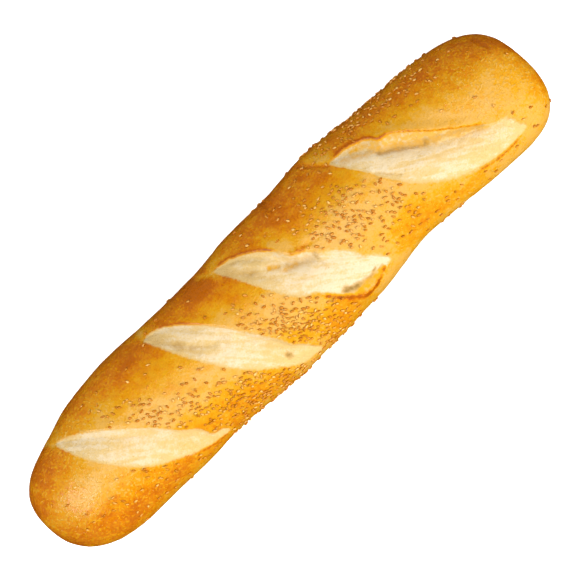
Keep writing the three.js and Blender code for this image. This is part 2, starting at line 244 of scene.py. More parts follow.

# Places that browned more or less than the rest, and paler patches on the crown that are painted sheen, as at
# (-182, -6) and (78, -18): middle, reach along and across, and amount
BAKE_AND_SHEEN_PATCHES = (
    (-208, 20, 9, 7, -0.37), (-201, 17, 8, 8, -0.18), (-192, -4, 9, 12, 0.18), (-182, -6, 14, 14, -0.16),
    (-176, -28, 28, 18, 0.18), (-172, -37, 16, 8, 0.17), (-172, 34, 13, 7, -0.5), (-160, -32, 10, 7, 0.14),
    (-158, 28, 6, 4, -0.25), (-152, 12, 16, 18, -0.5), (-139, 23, 9, 6, -0.32), (-138, -39, 18, 6, 0.26),
    (-133, 33, 8, 6, -0.18), (-121, -37, 8, 4, 0.2), (-120, -4, 16, 7, -0.36), (-118, 12, 8, 6, -0.14),
    (-116, -1, 7, 5, -0.45), (-104, 36, 9, 7, 0.27), (-90, 2, 12, 12, 0.2), (-82, 42, 6, 5, -0.25),
    (-48, -20, 16, 12, -0.33), (-48, 4, 16, 18, -0.22), (-40, 36, 16, 7, 0.22), (-36, 34, 13, 10, 0.24),
    (-24, 10, 10, 15, 0.24), (-24, 34, 6, 7, -0.25), (-18, 42, 11, 6, -0.32), (-16, -44, 16, 12, -0.36),
    (-15, -16, 9, 9, -0.34), (16, -4, 28, 12, -0.28), (16, 20, 9, 12, -0.36), (24, -20, 28, 12, -0.37),
    (32, 36, 9, 12, 0.32), (38, 24, 8, 6, 0.2), (45, 1, 7, 6, -0.22), (46, 12, 7, 5, 0.12),
    (54, 26, 9, 6, -0.1), (56, -36, 16, 18, -0.7), (62, 4, 12, 12, -0.1), (69, 31, 8, 8, 0.3),
    (74, -8, 6, 5, -0.36), (77, 42, 7, 6, -0.2), (78, -18, 8, 6, -0.1), (80, -12, 16, 7, -0.29),
    (80, 36, 9, 12, -0.25), (81, 3, 5, 5, 0.12), (88, -44, 28, 7, -0.25), (93, -13, 6, 5, -0.35),
    (97, -35, 12, 7, 0.06), (114, 27, 8, 4, -0.2), (120, 20, 28, 18, -0.28), (136, -20, 28, 18, -0.65),
    (140, 11, 9, 5, -0.15), (148, 30, 16, 8, 0.16), (148, 41, 16, 4, -0.25), (160, -36, 16, 18, -0.4),
    (190, -36, 7, 9, -0.2), (200, -44, 28, 18, -0.7), (209, -19, 7, 8, -0.15),
)

# Fineness of the loaf's mesh, and how its rows slant to run along the slashes
AROUND = 236
ALONG = 408
CROWDING = 0.48  # shifts the columns towards the top
ROW_SLANT = 0.9
SLANT_FADE = (85, 205)
LENGTHWISE = Matrix.Rotation(math.pi / 2, 4, "Y")  # lays a sphere's poles along the loaf

# Patches of seeds: middle, spread, slant in degrees and how many
SEED_PATCHES = (
    ((-146, -28), (24, 10), -10, 34),
    ((-120, 4), (17, 8), -42, 50),
    ((-68, -33), (27, 9), -20, 185),
    ((-10, -26), (20, 12), -35, 170),
    ((64, 4), (24, 13), -42, 160),
    ((120, 40), (29, 6), -7, 110),
    ((118, 47), (26, 2.6), -5, 65),
    ((-40, -45), (32, 2.6), -3, 55),
    ((140, -40), (34, 6), 0, 24),
    ((0, 0), (110, 40), 0, 60),
)
SEED_DRAW = 27
SEED_FACES = {"u_segments": 8, "v_segments": 6}  # round a seed and along it
SEED_DROP = 0.2  # metres from which a seed comes down on the crust
SEED_TRIES = 30  # draws for each seed of a patch before it is left out
SEED_TIP_CLEAR = 6  # bare crust at the loaf's two tips
SEED_REACH = 1.06  # share of the half-width that seeds are drawn within
SEED_GAP = 1.9
SEED_CLEAR = 0.8  # bare crust between a seed and an opening
SEED_SUNK = (0.2, 0.45)  # least and greatest share of a seed's thickness that is baked into the crust
SEED_HEADING = (-45, 34)  # most seeds lie along the slashes: middle and spread, in degrees
SEED_TILT = 9
SEED_UNEVEN, SEED_MOST_UNEVEN = 0.14, 0.28  # spread and limit of the seeds' sizes
SEED_TOAST = (0.7, 1.1)  # beta draw from the most toasted, 0, to the palest, 1
# seeds down the sides are drawn paler as painted light
SEED_SIDE_LIGHT = 0.22  # how much paler the seeds down the sides are
SEED_PALE_FAR, SEED_PALE_NEAR, SEED_PALE_FADE = 18, 30, 14  # where that begins on each side, and its fade
SEED_STEEP = 0.93  # share of the half-width past which the side is too steep to reach from above
SEED_ROUND, SEED_ROUNDER = 0.38, 1.7  # half turns from the top at that share, and more for each share beyond


def linear(code):
    """An sRGB hex colour as linear red, green and blue."""
    channels = [int(code[i:i + 2], 16) / 255 for i in (1, 3, 5)]
    return tuple(c / 12.92 if c <= 0.04045 else ((c + 0.055) / 1.055) ** 2.4 for c in channels)


# Plan geometry of the loaf

def hump(x, at, reach):
    """A bell of height 1."""
    return np.exp(-(((x - at) / reach) ** 2))


def waves(humps, x):
    """The sum of several bells along the loaf."""
    return sum(size * hump(x, at, reach) for at, size, reach in humps)


def draws(humps, s):
    """How far the tucks or notches of a slash draw its edge in."""
    return sum(size * hump(s, at, reach) for size, at, reach in humps)


def smoothstep(x, low, high):
    """0 below low, 1 above high and smooth between."""
    t = np.clip((x - low) / (high - low), 0, 1)
    return t * t * (3 - 2 * t)


def stretch(s, low, high, fade):
    """1 along a stretch of a slash, fading out at both its ends."""
    return smoothstep(s, low - fade, low + fade) * (1 - smoothstep(s, high - fade, high + fade))


def signed_power(base, power):
    """A power that keeps the sign of its base."""
    return np.sign(base) * np.abs(base) ** power


def end_round(x):
    """1 along the loaf, falling to 0 at its two tips."""
    length = np.where(x < 0, TAIL_END[0], HEAD_END[0])
    blunt = np.where(x < 0, TAIL_END[1], HEAD_END[1])
    into = np.clip((np.abs(x) - LENGTH / 2 + length) / length, 0, 1)
    return (1 - into ** blunt) ** (1 / blunt)


def centre(x):
    """Sideways place of the loaf's middle line."""
    return waves(SIDEWAYS_BENDS, x)


def half_width(x):
    """Half the loaf's width at its waist."""
    return end_round(x) * (HALF_WIDTH + waves(WIDTH_SWELLS, x))


def slash_frame(slash):
    """Middle, half length, direction along and direction across, towards the lip."""
    start, end = np.array(slash.start, float), np.array(slash.end, float)
    half = np.linalg.norm(end - start) / 2
    along = (end - start) / (2 * half)
    return (start + end) / 2, half, along, np.array((-along[1], along[0]))


def beside(slash, x, y):
    """Share of the way along a slash, from -1 to 1, and millimetres across it."""
    middle, half, along, across = slash_frame(slash)
    dx, dy = x - middle[0], y - middle[1]
    return (dx * along[0] + dy * along[1]) / half, dx * across[0] + dy * across[1]


def lip_edge(slash, s):
    """Where the lip stands, in millimetres across the slash."""
    lens = slash.lip * np.clip(1 - s * s, 0, 1) ** LIP_CURVE * (1 + slash.lip_lean * s)
    return lens + TIP_WIDTH - draws(slash.tucks, s)


def bloom_edge(slash, s):
    """Where the bloom ends, in millimetres across the slash."""
    lens = slash.bloom * np.clip(1 - s * s, 0, 1) ** BLOOM_CURVE * (1 + slash.bloom_lean * s)
    return draws(slash.notches, s) - lens - TIP_WIDTH


def inside_slash(slash, s, d):
    """Millimetres inside the nearest edge of an opening, negative outside it."""
    across = np.minimum(lip_edge(slash, s) - d, d - bloom_edge(slash, s))
    return np.minimum(across, (1 - np.abs(s)) * slash_frame(slash)[1])


def pinch(x, y):
    """How much the loaf is drawn in by the slashes that cross it."""
    drawn = 0
    for slash in SLASHES:
        s, d = beside(slash, x, y)
        past_tip = np.maximum(0, np.abs(s) - 1)
        drawn = drawn + PINCH * hump(past_tip, 0, PINCH_FADE) * hump(d, 0, PINCH_REACH)
    return drawn


def crust(x, turn):
    """Points of the crust without its openings, at places along it and turns round it, 0 at the top."""
    upper = np.cos(turn) >= 0
    power = np.where(upper, 2 / CROWN_ROUND, 2 / BELLY_ROUND)
    rise = np.where(upper, HEIGHT + waves(HEIGHT_SWELLS, x) - WAIST, WAIST + SAG)
    side = half_width(x) * signed_power(np.sin(turn), power)
    lift = end_round(x) * rise * signed_power(np.cos(turn), power)
    drawn = 1 - pinch(x, centre(x) + side) * smoothstep(lift, -WAIST, 0)
    level = WAIST + lift * drawn
    level = (level + np.sqrt(level * level + HEEL * HEEL)) / 2
    return np.stack((x, centre(x) + side * drawn, level), axis=-1)


def plan_shift():
    """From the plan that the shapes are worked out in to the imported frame, in millimetres."""
    x = np.linspace(-LENGTH / 2, LENGTH / 2, 900)
    sides = [crust(x, np.full(x.shape, turn))[:, 1] for turn in (math.pi / 2, -math.pi / 2)]
    middle = (LOW + HIGH) / 2 / MM
    return np.array((middle.x, middle.y - (sides[0].max() + sides[1].min()) / 2, 0))


# Surface relief

def cloud(points, size, octaves=1):
    """Smooth noise from about -1 to 1 whose lumps are size millimetres across."""
    return np.array([noise.fractal(Vector(p), 1.0, 2.0, octaves) for p in points / size])


def segment_distance(x, y, start, end):
    """Distance from plan points to the line between two points."""
    (ax, ay), (bx, by) = start, end
    along = ((x - ax) * (bx - ax) + (y - ay) * (by - ay)) / ((bx - ax) ** 2 + (by - ay) ** 2)
    share = np.clip(along, 0, 1)
    return np.hypot(x - ax - share * (bx - ax), y - ay - share * (by - ay))


def opening_depth(slash, s, v, softness):
    """Depth of an opening: a swollen bloom, a rounded crease, then the wall up to the lip."""
    crease = np.minimum(slash.crease + slash.drift * np.maximum(s, 0), CREASE_END)
    from_bloom, from_lip = (v + 1) / (crease + 1), (1 - v) / (1 - crease)
    swell = BLOOM_START + BLOOM_EVEN * from_bloom + BLOOM_STEEP * from_bloom ** BLOOM_POWER
    wall = from_lip ** WALL_POWER
    share = -np.log(np.exp(-CREASE_TIGHT * swell) + np.exp(-CREASE_TIGHT * wall)) / CREASE_TIGHT
    lens = np.clip(1 - s * s, 0, 1) ** LIP_CURVE
    step = EDGE_STEP * smoothstep(v, *STEP_RUN) / (1 + softness)
    risen = sum(amount * stretch(s, low, high, SWELL_FADE) for low, high, amount in slash.swells)
    depth = step + (slash.depth * (1 - risen) - step) * np.maximum(share, 0) * lens
    return depth, smoothstep(v - crease, *TORN_RUN) * lens


def ridge(out):
    """Raised crust outside an edge, highest close to it."""
    return (1 - smoothstep(out, *RIDGE_FALL)) * smoothstep(out, *RIDGE_RISE)


def slash_relief(slash, x, y, rag):
    """Height that a slash adds to the crust, and where its finishes show."""
    s, d = beside(slash, x, y)
    d = d + slash.rag * rag
    half = slash_frame(slash)[1]
    edges = {"lip": lip_edge(slash, s), "bloom": bloom_edge(slash, s)}
    within = {"lip": edges["lip"] - d, "bloom": d - edges["bloom"]}
    from_tip = (1 - np.abs(s)) * half
    opening, rim, softness = from_tip, 0, {}
    for edge, inside in within.items():
        softness[edge] = np.zeros(len(s))
        for name, low, high, more in slash.soft:
            if name == edge:
                softness[edge] += more * stretch(s, low, high, SOFT_FADE)
        opening = np.minimum(opening, inside / (1 + softness[edge]))
        pale, reach = RIM_PALE[edge]
        beside_it = hump(np.minimum(inside, 0), 0, reach) * hump(np.minimum(from_tip, 0), 0, reach)
        rim = np.maximum(rim, pale * beside_it)
    width = np.maximum(edges["lip"] - edges["bloom"], LEAST_WIDTH)
    v = np.clip(2 * (d - edges["bloom"]) / width - 1, -1, 1)
    opened = smoothstep(np.minimum(within["lip"], from_tip), *LIP_RUN)
    opened = opened * smoothstep(within["bloom"], *BLOOM_RUN)
    depth, torn = opening_depth(slash, s, v, softness["lip"])
    streaks = np.stack((s * half * FIBRE[1] / FIBRE[0], d, np.full(len(s), slash.depth)), axis=-1)
    fibre = cloud(streaks, FIBRE[1], 3)
    torn = opened * slash.torn * torn
    height = opened * ((FIBRE_HEIGHT + TORN_HEIGHT * torn) * fibre - depth)
    lip_stands = np.clip(1 - (s / RISE_REACH) ** 2, 0, 1) / (1 + softness["lip"])
    bloom_stands = np.clip(1 - ((s - FLARE_MIDDLE) / FLARE_REACH) ** 2, 0, 1)
    height += slash.rise * lip_stands * ridge(d - edges["lip"])
    height += slash.flare * bloom_stands * ridge(edges["bloom"] - d)
    burn = 0
    for edge, low, high, strength, width in slash.burns:
        scorch = strength * stretch(s, low, high, BURN_FADE) * hump(-within[edge], width / 2, width)
        burn = np.maximum(burn, scorch * (np.abs(s) < 1))
    return {
        "height": height,
        "opening": opening,
        "rim": rim,
        "torn": torn,
        "burn": np.clip(burn, 0, 1),
        "white": np.interp(s, WHITE_AT, slash.white) * opened,
        "fibre": opened * (0.5 + 0.5 * fibre),
    }


def loaf_relief(points, turn):
    """Height over the plain crust in millimetres, and the finishes with the painted shade of folds and pits,
    at every point of the loaf.
    """
    x, y = points[:, 0], points[:, 1]
    upper = smoothstep(np.cos(turn), *UPPER_RUN)
    rag = cloud(points, RAG_SIZE, 2)
    relief = {name: np.zeros(len(x)) for name in ("torn", "burn", "white", "fibre", "stain", "rim")}
    relief["opening"] = np.full(len(x), -99.0)
    height = sum(tall * cloud(points, size, 2) for size, tall in (LOW_WAVES, SMALL_BUMPS))
    for slash in SLASHES:
        made = slash_relief(slash, x, y, rag)
        height += upper * made.pop("height")
        for name, values in made.items():
            relief[name] = np.maximum(relief[name], np.where(upper > 0, values, relief[name]))
    for fold in FOLDS:
        away = segment_distance(x, y, fold.start, fold.end) + FOLD_RAG * rag
        mark = upper * hump(away, 0, fold.breadth)
        height -= fold.depth * mark
        relief["stain"] += fold.stain * mark
        relief["burn"] = np.maximum(relief["burn"], fold.burn * mark)
    size, tall = CRUMB_BUMPS
    height += smoothstep(relief["opening"], 0, 2) * tall * cloud(points + 50, size, 2)
    relief["height"] = height
    # folds darken the crust as painted shade and pinched seams pale it
    bake = browning_and_painted_light(points, turn) + SHADE_AND_SEAM_BAKE * relief["stain"] - relief.pop("rim")
    relief["bake"] = np.clip(bake, 0, 1)
    relief["blister"] = blistering(x, y)
    return relief


def blistering(x, y):
    """How thickly small blisters stand on the crust: most at the two ends and down the sides."""
    across = np.abs(y - centre(x)) / np.maximum(half_width(x), 1)
    amount, low, high = BLISTER_SIDES
    ends = smoothstep(np.abs(x - BLISTER_MIDDLE), *BLISTER_ENDS)
    return np.clip(ends + amount * smoothstep(across, low, high), 0, 1)


def browning_and_painted_light(points, turn):
    """How dark the crust is baked, from 0 for straw to 1 for chestnut, with painted sheen in its paler crown
    and painted light on the near limb.
    """
    x, y = points[:, 0], points[:, 1]
    across = (y - centre(x)) / np.maximum(half_width(x), 1)
    bake = CROWN_BAKE_AND_SHEEN + END_BAKE * np.minimum(1 - end_round(x), END_MOST)
    for outward, (amount, low, high) in ((across, FAR_SIDE), (-across, NEAR_SIDE), (-across, NEAR_LIMB_LIGHT)):
        bake += amount * smoothstep(outward, low, high)
    for at_x, at_y, reach_x, reach_y, amount in BAKE_AND_SHEEN_PATCHES:
        bake += amount * hump(x, at_x, reach_x) * hump(y, at_y, reach_y)
    for size, amount, offset in BAKE_CLOUDS:
        bake += amount * cloud(points + offset, size, 2)
    drawn_out = np.stack(((x - y) / STREAK, x + y, points[:, 2]), axis=-1)
    size, amount = STREAK_CLOUDS
    bake += amount * cloud(drawn_out, size, 3) + BLISTER_BAKE * blistering(x, y)
    under = smoothstep(-np.cos(turn), *UNDER_RUN)
    return bake * (1 - under) + UNDER_BAKE * under


# Meshes

def row_places():
    """Places along the loaf of the mesh's rows, evenly spaced along its outline."""
    fine = LENGTH / 2 * np.sin(np.linspace(-np.pi / 2, np.pi / 2, 4001))
    steps = np.hypot(np.diff(fine), np.diff(half_width(fine)))
    walked = np.concatenate(([0], np.cumsum(steps)))
    return np.interp(np.linspace(0, walked[-1], ALONG + 1), walked, fine)


def read_vectors(items, name):
    """A vector property of a mesh's vertices or normals, as rows of an array."""
    values = np.empty(len(items) * 3, np.float32)
    items.foreach_get(name, values)
    return values.reshape(-1, 3).astype(float)


def write_points(mesh, points):
    """Moves a mesh's vertices to points in millimetres."""
    mesh.vertices.foreach_set("co", (points * MM).astype(np.float32).ravel())
    mesh.update()


def add_value(mesh, name, values):
    """Stores one number for each vertex."""
    layer = mesh.attributes.new(name, "FLOAT", "POINT")
    layer.data.foreach_set("value", values.astype(np.float32))


def add_piece(mesh, material):
    """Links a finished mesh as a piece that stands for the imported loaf."""
    mesh.shade_smooth()
    mesh.materials.append(material)
    piece = bpy.data.objects.new(mesh.name, mesh)
    bpy.context.scene.collection.objects.link(piece)
    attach(piece, BODY)
    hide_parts(LOAF_NODE)
    return piece


def loaf_mesh():
    """A sphere with its poles at the loaf's tips, drawn out to the crust and then carved."""
    form = bmesh.new()
    bmesh.ops.create_uvsphere(form, u_segments=AROUND, v_segments=ALONG, radius=1, matrix=LENGTHWISE)
    mesh = bpy.data.meshes.new("loaf")
    form.to_mesh(mesh)
    form.free()

    ball = read_vectors(mesh.vertices, "co")
    row = np.rint((1 - np.arccos(np.clip(ball[:, 0], -1, 1)) / np.pi) * ALONG).astype(int)
    round_it = np.arctan2(ball[:, 1], ball[:, 2])
    turn = round_it - CROWDING * np.sin(round_it)
    place = row_places()[row]
    slant = ROW_SLANT * HALF_WIDTH * (1 - smoothstep(np.abs(place), *SLANT_FADE))
    points = crust(place - slant * np.sin(turn), turn)
    write_points(mesh, points)

    relief = loaf_relief(points, turn)
    lifted = points + relief.pop("height")[:, None] * read_vectors(mesh.vertex_normals, "vector")
    lifted[:, 2] = np.maximum(lifted[:, 2], 0)
    lifted[:, 2] -= lifted[:, 2].min()
    write_points(mesh, lifted + plan_shift())
    for name, values in relief.items():
        add_value(mesh, name, values)
    return mesh


def land(surface, x, y, shift):
    """Where a seed drawn at a plan point comes to lie on the crust, and the direction out of it."""
    share = (y - centre(x)) / half_width(x)
    outward = Vector((0, 0, 1))
    if abs(share) > SEED_STEEP:
        half_turns = SEED_ROUND + SEED_ROUNDER * (abs(share) - SEED_STEEP)
        way = math.copysign(math.pi * half_turns, share)
        outward = Vector((0, math.sin(way), math.cos(way)))
        y = centre(x)
    start = Vector((x + shift[0], y + shift[1], WAIST)) * MM + outward * SEED_DROP
    return surface.ray_cast(start, -outward)[:2]


def on_crust(x, y):
    """True off every opening, by the seeds' clearance."""
    return all(inside_slash(slash, *beside(slash, x, y)) < -SEED_CLEAR for slash in SLASHES)


def seed_places(surface, random):
    """Places and outward directions of the seeds, off the openings and off each other."""
    shift = plan_shift()
    found = []
    for middle, spread, slant, count in SEED_PATCHES:
        turn = math.radians(slant)
        left = count
        for _ in range(count * SEED_TRIES):
            if not left:
                break
            a, b = random.normal(0, 1, 2) * spread
            x = middle[0] + a * math.cos(turn) - b * math.sin(turn)
            y = middle[1] + a * math.sin(turn) + b * math.cos(turn)
            if abs(x) > LENGTH / 2 - SEED_TIP_CLEAR or abs(y - centre(x)) > SEED_REACH * half_width(x):
                continue
            hit, normal = land(surface, x, y, shift)
            if hit is None or not on_crust(hit.x / MM - shift[0], hit.y / MM - shift[1]):
                continue
            if any((hit - other).length_squared < (SEED_GAP * MM) ** 2 for other, _ in found):
                continue
            found.append((hit, normal))
            left -= 1
    return found


def seed_place(at, normal, settings, random):
    """A seed's size, tilt, heading and place, sunk a little into the crust, as one matrix."""
    heading, *tilts = random.normal((SEED_HEADING[0], 0, 0), (SEED_HEADING[1], SEED_TILT, SEED_TILT))
    heading = math.radians(heading + 180 * random.integers(2))
    size = 1 + random.normal(0, SEED_UNEVEN, 3).clip(-SEED_MOST_UNEVEN, SEED_MOST_UNEVEN)
    scale = Matrix.Diagonal(Vector(size * (settings.length, settings.width, settings.thickness)))
    stand = normal.to_track_quat("Z", "Y").to_matrix()
    flat = stand.inverted() @ Vector((math.cos(heading), math.sin(heading), 0))
    spin = Matrix.Rotation(math.atan2(flat.y, flat.x), 3, "Z")
    tip_x, tip_y = (Matrix.Rotation(math.radians(tilt), 3, axis) for tilt, axis in zip(tilts, "XY"))
    lift = settings.thickness * (0.5 - random.uniform(*SEED_SUNK))
    return Matrix.Translation(at + normal * lift) @ (stand @ spin @ tip_x @ tip_y @ scale).to_4x4()


def seed_pale_and_lit(at, random):
    """How pale a seed is, from 0 for the most toasted to 1; seeds down the sides are paler still, as painted
    light.
    """
    begins = SEED_PALE_FAR if at.y > 0 else SEED_PALE_NEAR
    side_light = smoothstep(abs(at.y) / MM, begins, begins + SEED_PALE_FADE)
    return min(random.beta(*SEED_TOAST) + SEED_SIDE_LIGHT * side_light, 1)


def seed_form(settings):
    """One seed, a long sphere that is pointed at one end, with the level of each of its points."""
    form = bmesh.new()
    level = form.verts.layers.float.new("level")
    bmesh.ops.create_uvsphere(form, **SEED_FACES, radius=0.5, matrix=LENGTHWISE)
    for vert in form.verts:
        vert.co.yz = vert.co.yz * (1 - settings.taper * 2 * vert.co.x)
        vert[level] = vert.co.z + 0.5
    return form


def seeds_mesh(loaf, settings):
    """All the seeds as one mesh, each with its own size, heading, tilt and colour."""
    random = np.random.default_rng(SEED_DRAW)
    surface = BVHTree.FromObject(loaf, bpy.context.evaluated_depsgraph_get())
    shape, form, pale = seed_form(settings), bmesh.new(), []
    mesh = bpy.data.meshes.new("sesame_seeds")
    for at, normal in seed_places(surface, random):
        place = seed_place(at, normal, settings, random)
        pale += [seed_pale_and_lit(at, random)] * len(shape.verts)
        seed = shape.copy()
        bmesh.ops.transform(seed, matrix=place, verts=seed.verts)
        seed.to_mesh(mesh)
        seed.free()
        form.from_mesh(mesh)
    form.to_mesh(mesh)
    form.free()
    shape.free()
    add_value(mesh, "toast", np.array(pale))
    return mesh


# Materials

NOISE = "ShaderNodeTexNoise"
RANGE = "ShaderNodeMapRange"
MATH = "ShaderNodeMath"
MIX = "ShaderNodeMix"
RAMP = "ShaderNodeValToRGB"
SMOOTH = {"interpolation_type": "SMOOTHSTEP"}

# Noise patterns: size of the lumps in millimetres, detail, and the noise that is drawn out to a range
CRUST_PATTERNS = {
    "blotches": (6.0, 2, (0.3, 0.7), (-0.11, 0.11)),
    "mottle": (1.8, 3, (0.3, 0.7), (-0.12, 0.12)),
    "blisters": (1.7, 0, (0.58, 0.66), (0, 1)),
    "pores": (1.2, 0, (0.34, 0.24), (0, 0.25)),
    "charring": (3.0, 3, (0.3, 0.7), (0.6, 1.15)),
    "satin": (5.0, 2, (0.3, 0.7), (-0.05, 0.07)),
    "flour": (4.0, 4, (0.25, 0.75), (-0.2, 0.2)),
    "grit": (1.1, 3, (0.3, 0.7), (-0.18, 0.18)),
    "tearing": (3.0, 3, (0.3, 0.7), (0.35, 1.35)),
    "shading": (2.5, 2, (0.3, 0.7), (0.75, 1.15)),
    "specks": (1.1, 1, (0.33, 0.22), (0, 0.5)),
    "edge": (2.2, 3, (0.3, 0.7), (-0.25, 0.25)),
}
CRUST_GRAIN = ((4.5, 2), (1.5, 3))  # size and detail of the fine bumps


def add_node(tree, kind, inputs=None, **settings):
    """Adds a node with its settings; an input takes a value, an output or a node's first output in use."""
    node = tree.nodes.new(kind)
    for name, value in settings.items():
        setattr(node, name, value)
    for name, value in (inputs or {}).items():
        if isinstance(value, bpy.types.Node):
            value = next(output for output in value.outputs if output.enabled)
        if isinstance(value, bpy.types.NodeSocket):
            tree.links.new(value, node.inputs[name])
        else:
            node.inputs[name].default_value = value
    return node


def new_material(name):
    """An empty node material and its tree."""
    material = bpy.data.materials.new(name)
    material.use_nodes = True
    material.node_tree.nodes.clear()
    return material, material.node_tree


def set_ramp(node, stops):
    """Colours a ramp whose first and last stops lie at its ends."""
    elements = node.color_ramp.elements
    elements[0].color, elements[-1].color = opaque(stops[0][1]), opaque(stops[-1][1])
    for place, colour in stops[1:-1]:
        elements.new(place).color = opaque(colour)


def per_metre(size_mm):
    """Scale of a noise pattern whose lumps are so many millimetres across."""
    return 1 / (size_mm * MM)


def opaque(colour):
    """A colour for a node's socket."""
    return (*colour, 1)


def lay_over(tree, under, over, share, low, high, most):
    """Lays one colour over another, up to the most, as a share rises from low to high."""
    rise = {"Value": share, "From Min": low, "From Max": high, "To Max": most}
    factor = add_node(tree, RANGE, rise, **SMOOTH)
    return add_node(tree, MIX, {0: factor, 6: under, 7: over}, data_type="RGBA")


def crust_material(settings):
    """Oven-browned wheat crust: satin, straw to chestnut. Where it opened, matt pale crumb in streaks, with
    painted shade in its folds and hollows.
    """
    material, tree = new_material("Oven-browned wheat crust")
    where = add_node(tree, "ShaderNodeTexCoord").outputs["Object"]
    value, pattern = {}, {}
    for name in ("bake", "blister", "burn", "opening", "white", "fibre", "torn", "stain"):
        value[name] = add_node(tree, "ShaderNodeAttribute", attribute_name=name).outputs["Fac"]
    for name, (size_mm, detail, (low, high), (least, most)) in CRUST_PATTERNS.items():
        lumps = add_node(tree, NOISE, {"Vector": where, "Scale": per_metre(size_mm), "Detail": detail})
        span = {"Value": lumps, "From Min": low, "From Max": high, "To Min": least, "To Max": most}
        pattern[name] = add_node(tree, RANGE, span, **SMOOTH)

    # crust: broad browning from the mesh, with its painted sheen, painted light and painted shade, mottled,
    # with small pale blisters and a few dark pores
    scorch = add_node(tree, MATH, {0: value["burn"], 1: pattern["charring"]}, operation="MULTIPLY")
    blisters = add_node(tree, MATH, {0: value["blister"], 1: pattern["blisters"]}, operation="MULTIPLY")
    paling = add_node(tree, RANGE, {"Value": blisters, "To Max": -0.34}, **SMOOTH)
    mottling = add_node(tree, MATH, {0: value["blister"], 1: 0.5, 2: 0.6}, operation="MULTIPLY_ADD")
    bake = value["bake"]
    parts = [(pattern["mottle"], mottling), (scorch, 1.1)]
    parts += [(part, 1.0) for part in (pattern["blotches"], pattern["pores"], paling)]
    for part, amount in parts:
        bake = add_node(tree, MATH, {0: part, 1: amount, 2: bake}, operation="MULTIPLY_ADD")
    browns = add_node(tree, RAMP, {"Fac": bake})
    set_ramp(browns, (
        (0.0, settings.straw), (0.2, settings.gold), (0.5, settings.orange),
        (0.75, settings.amber), (1.0, settings.chestnut),
    ))
    crust_colour = lay_over(tree, browns, opaque(settings.burnt), scorch, 0.3, 0.9, 1.0)

    # crumb: creamy, floury in patches and streaks, tan where it tore, painted shade in its folds and hollows,
    # and toasted at edges
    span = {"Value": value["fibre"], "From Min": 0.2, "From Max": 0.8, "To Min": -0.3, "To Max": 0.3}
    streaks = add_node(tree, RANGE, span, **SMOOTH)
    floury = value["white"]
    for part in (streaks, pattern["flour"], pattern["grit"]):
        floury = add_node(tree, MATH, {0: floury, 1: part}, operation="ADD")
    torn = {0: value["torn"], 1: pattern["tearing"], 2: streaks}
    tearing = add_node(tree, MATH, torn, operation="MULTIPLY_ADD")
    # painted shade in folds, pits and hollows, broken by noise and specks
    shading = add_node(tree, MATH, {0: value["stain"], 1: pattern["shading"]}, operation="MULTIPLY")
    folded = add_node(tree, MATH, {0: shading, 1: pattern["specks"]}, operation="ADD")
    toasts = add_node(tree, RAMP, {"Fac": scorch})
    set_ramp(toasts, (
        (0.0, settings.straw), (0.3, settings.gold), (0.6, settings.orange), (1.0, settings.burnt),
    ))
    crumb_colour = opaque(settings.crumb)
    for colour, share, low, high, most in (
        (opaque(settings.flour), floury, 0.0, 1.0, 1.0),
        (opaque(settings.tan), tearing, 0.1, 1.0, 1.0),
        (opaque(settings.shade), folded, 0.0, 1.0, 0.85),
        (opaque(settings.hollow), shading, 0.8, 1.8, 0.8),
        (toasts, scorch, 0.02, 0.3, 1.0),
    ):
        crumb_colour = lay_over(tree, crumb_colour, colour, share, low, high, most)

    # the edge between them, gloss and fine bumps
    edge = add_node(tree, MATH, {0: value["opening"], 1: pattern["edge"]}, operation="ADD")
    span = {"Value": edge, "From Min": -0.45, "From Max": 0.55}
    opened = add_node(tree, RANGE, span, **SMOOTH)
    colour = add_node(tree, MIX, {0: opened, 6: crust_colour, 7: crumb_colour}, data_type="RGBA")
    satin = add_node(tree, MATH, {0: pattern["satin"], 1: settings.roughness}, operation="ADD")
    roughness = add_node(tree, MIX, {0: opened, 2: satin, 3: 0.85}, data_type="FLOAT")
    grain = blisters
    for size_mm, detail in CRUST_GRAIN:
        lumps = add_node(tree, NOISE, {"Vector": where, "Scale": per_metre(size_mm), "Detail": detail})
        grain = add_node(tree, MATH, {0: grain, 1: lumps}, operation="ADD")
    bump = add_node(tree, "ShaderNodeBump", {"Height": grain, "Strength": 0.5, "Distance": 0.6 * MM})
    shader = add_node(tree, "ShaderNodeBsdfPrincipled", {
        "Base Color": colour, "Roughness": roughness, "Normal": bump, "IOR": 1.45, "Specular IOR Level": 0.36,
    })
    add_node(tree, "ShaderNodeOutputMaterial", {"Surface": shader})
    return material


def sesame_material(settings):
    """Toasted sesame: oily smooth hulls, tan above and browner low down where they sit in the crust, as
    toasting and as painted shade.
    """
    material, tree = new_material("Toasted sesame hull")
    toast = add_node(tree, "ShaderNodeAttribute", attribute_name="toast").outputs["Fac"]
    level = add_node(tree, "ShaderNodeAttribute", attribute_name="level").outputs["Fac"]
    hulls = add_node(tree, RAMP, {"Fac": toast})
    set_ramp(hulls, ((0.0, settings.brown), (0.5, settings.tan), (1.0, settings.pale)))
    # low on each seed the rim colour stands both for toasting and for painted shade where the seed meets the
    # crust
    rise = add_node(tree, RANGE, {"Value": level, "From Min": 0.5, "From Max": 0.97})
    colour = add_node(tree, MIX, {0: rise, 6: opaque(settings.scorched_and_shaded), 7: hulls}, data_type="RGBA")
    shader = add_node(tree, "ShaderNodeBsdfPrincipled", {
        "Base Color": colour, "Roughness": 0.27, "IOR": 1.45, "Specular IOR Level": 0.3,
    })
    add_node(tree, "ShaderNodeOutputMaterial", {"Surface": shader})
    return material


def floor_material(settings):
    """Opal acrylic of a light table: white, and lit a little from below."""
    material, tree = new_material("Opal acrylic")
    white = opaque(settings.floor)
    shader = add_node(tree, "ShaderNodeBsdfPrincipled", {
        "Base Color": white, "Roughness": 0.9, "Emission Color": white, "Emission Strength": settings.glow,
        "Specular IOR Level": 0.0,
    })
    add_node(tree, "ShaderNodeOutputMaterial", {"Surface": shader})
    return material


